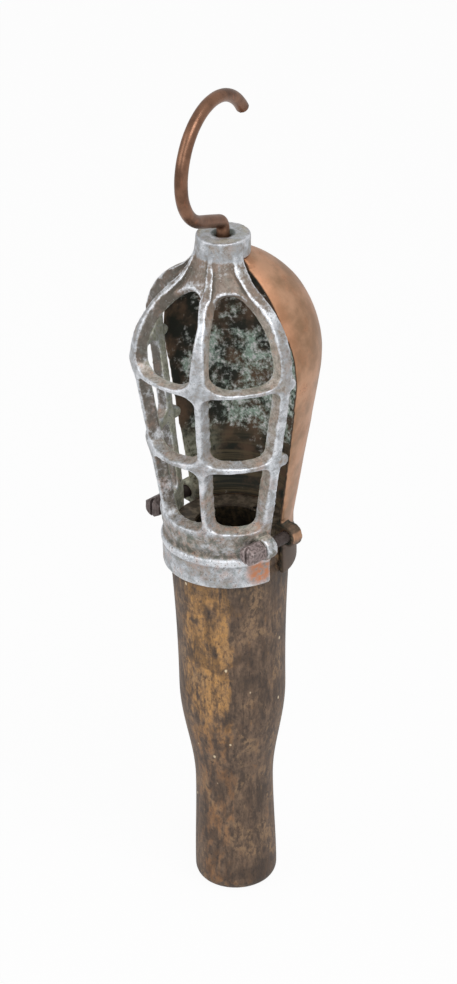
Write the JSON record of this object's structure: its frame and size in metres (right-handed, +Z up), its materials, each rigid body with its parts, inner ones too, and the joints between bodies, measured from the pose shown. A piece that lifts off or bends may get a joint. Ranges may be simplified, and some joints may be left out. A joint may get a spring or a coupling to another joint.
{
  "type": "handheld work light",
  "caption": "Handheld work light with a turned wooden grip, a cast rib guard clamped to a domed copper reflector, a lamp socket and a swivelling hanging hook.",
  "frame": {"origin": "centre of the flat butt of the grip", "axes": "+Z up the axis of the grip to the hook; the guard faces -Y and the reflector +Y; the split between them is the XZ plane"},
  "size_m": [0.0756, 0.0748, 0.3516],
  "materials": {
    "wood": "worn turned hardwood, dark with golden streaks along the grain",
    "guard_cast": "sand-cast bronze with pale plating worn through on the faces",
    "reflector_copper": "satin brown copper outside, dark and spotted green inside",
    "hook_bronze": "satin brown bronze rod",
    "screw_steel": "dark rusty steel",
    "porcelain": "dark brown glaze",
    "contact_brass": "dull brass",
    "fibre": "red vulcanised fibre"
  },
  "bodies": {
    "light": {"handle": "wood", "guard": "guard_cast", "reflector": "reflector_copper", "fibre_washer": "fibre", "socket_body": "porcelain", "lamp_shell": "contact_brass", "shell_rivets": "contact_brass", "centre_contact": "contact_brass", "contact_rivet": "contact_brass", "shell_terminal": "contact_brass", "centre_terminal": "contact_brass", "terminal_screws": "contact_brass", "socket_cap": "porcelain", "socket_bolts": "contact_brass", "socket_nuts": "contact_brass"},
    "hook": {"hook": "hook_bronze", "hook_washer": "hook_bronze", "hook_nut": "hook_bronze"},
    "left_screw": {"clamp_screw_left": "screw_steel"},
    "right_screw": {"clamp_screw_right": "screw_steel"}
  },
  "joints": [
    {"name": "hook_swivel", "type": "hinge", "parent": "light", "child": "hook", "pos_m": [0, 0, 0.29], "axis": [0, 0, 1], "continuous": true},
    {"name": "left_screw_turn", "type": "hinge", "parent": "light", "child": "left_screw", "pos_m": [-0.02755, -0.0078, 0.1681], "axis": [0, 1, 0], "continuous": true},
    {"name": "right_screw_turn", "type": "hinge", "parent": "light", "child": "right_screw", "pos_m": [0.02755, -0.0106, 0.1681], "axis": [0, 1, 0], "continuous": true}
  ]
}
